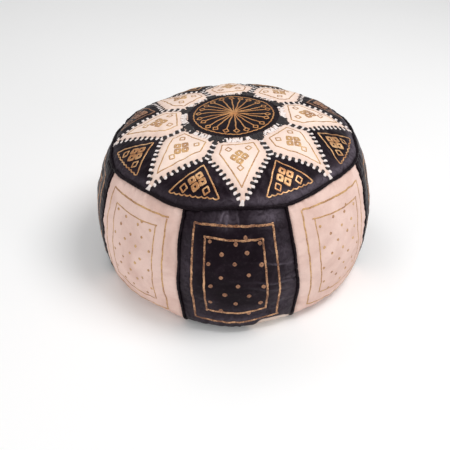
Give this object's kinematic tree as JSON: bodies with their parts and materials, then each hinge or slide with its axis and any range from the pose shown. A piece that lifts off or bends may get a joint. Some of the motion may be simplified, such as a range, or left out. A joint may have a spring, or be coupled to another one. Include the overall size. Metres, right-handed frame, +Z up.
{
  "type": "moroccan leather pouf",
  "caption": "Round stuffed leather floor pouf with a laced star top, gilded side panels, welted seams and a zip in its base.",
  "frame": {"origin": "on the floor, under the centre of the pouf", "axes": "+Z up, -Y towards the front black panel, +X to the right of someone looking at it"},
  "size_m": [0.45, 0.45, 0.25],
  "materials": {
    "leather_black": "polished, mottled",
    "leather_natural": "satin",
    "leather_base": "matt",
    "lacing_thong": "matt",
    "welt_black": "satin",
    "gold_foil": "worn gilding",
    "cotton_lining": "matt",
    "stuffing_fibre": "matt",
    "zip_tape": "woven",
    "zip_brass": "satin"
  },
  "bodies": {
    "cover": {"medallion": "leather_black", "medallion_lacing": "lacing_thong", "kite_1": "leather_natural", "gusset_1": "leather_black", "star_lacing_1": "lacing_thong", "kite_2": "leather_natural", "gusset_2": "leather_black", "star_lacing_2": "lacing_thong", "kite_3": "leather_natural", "gusset_3": "leather_black", "star_lacing_3": "lacing_thong", "kite_4": "leather_natural", "gusset_4": "leather_black", "star_lacing_4": "lacing_thong", "kite_5": "leather_natural", "gusset_5": "leather_black", "star_lacing_5": "lacing_thong", "kite_6": "leather_natural", "gusset_6": "leather_black", "star_lacing_6": "lacing_thong", "kite_7": "leather_natural", "gusset_7": "leather_black", "star_lacing_7": "lacing_thong", "kite_8": "leather_natural", "gusset_8": "leather_black", "star_lacing_8": "lacing_thong", "medallion_gilding": "gold_foil", "star_gilding": "gold_foil", "side_panel_1": "leather_black", "side_welt_1": "welt_black", "side_panel_2": "leather_natural", "side_welt_2": "welt_black", "side_panel_3": "leather_black", "side_welt_3": "welt_black", "side_panel_4": "leather_natural", "side_welt_4": "welt_black", "side_panel_5": "leather_black", "side_welt_5": "welt_black", "side_panel_6": "leather_natural", "side_welt_6": "welt_black", "side_panel_7": "leather_black", "side_welt_7": "welt_black", "side_panel_8": "leather_natural", "side_welt_8": "welt_black", "top_welt": "welt_black", "panel_gilding": "gold_foil", "stuffing": "stuffing_fibre", "lining_bag": "cotton_lining", "star_backing": "cotton_lining", "base_front": "leather_base", "base_rear": "leather_base", "zip_tape_front": "zip_tape", "zip_tape_rear": "zip_tape", "zip_teeth_front": "zip_brass", "zip_teeth_rear": "zip_brass", "zip_stops": "zip_brass"},
    "zip_slider": {"zip_slider": "zip_brass"},
    "zip_pull": {"zip_pull": "zip_brass"}
  },
  "joints": [
    {"name": "zip_slide", "type": "slide", "parent": "cover", "child": "zip_slider", "axis": [1, 0, 0], "range_m": [-0.165, 0]},
    {"name": "pull_swing", "type": "hinge", "parent": "zip_slider", "child": "zip_pull", "pos_m": [0.084, 0, 0.0058], "axis": [0, -1, 0], "range_deg": [0, 170]}
  ]
}
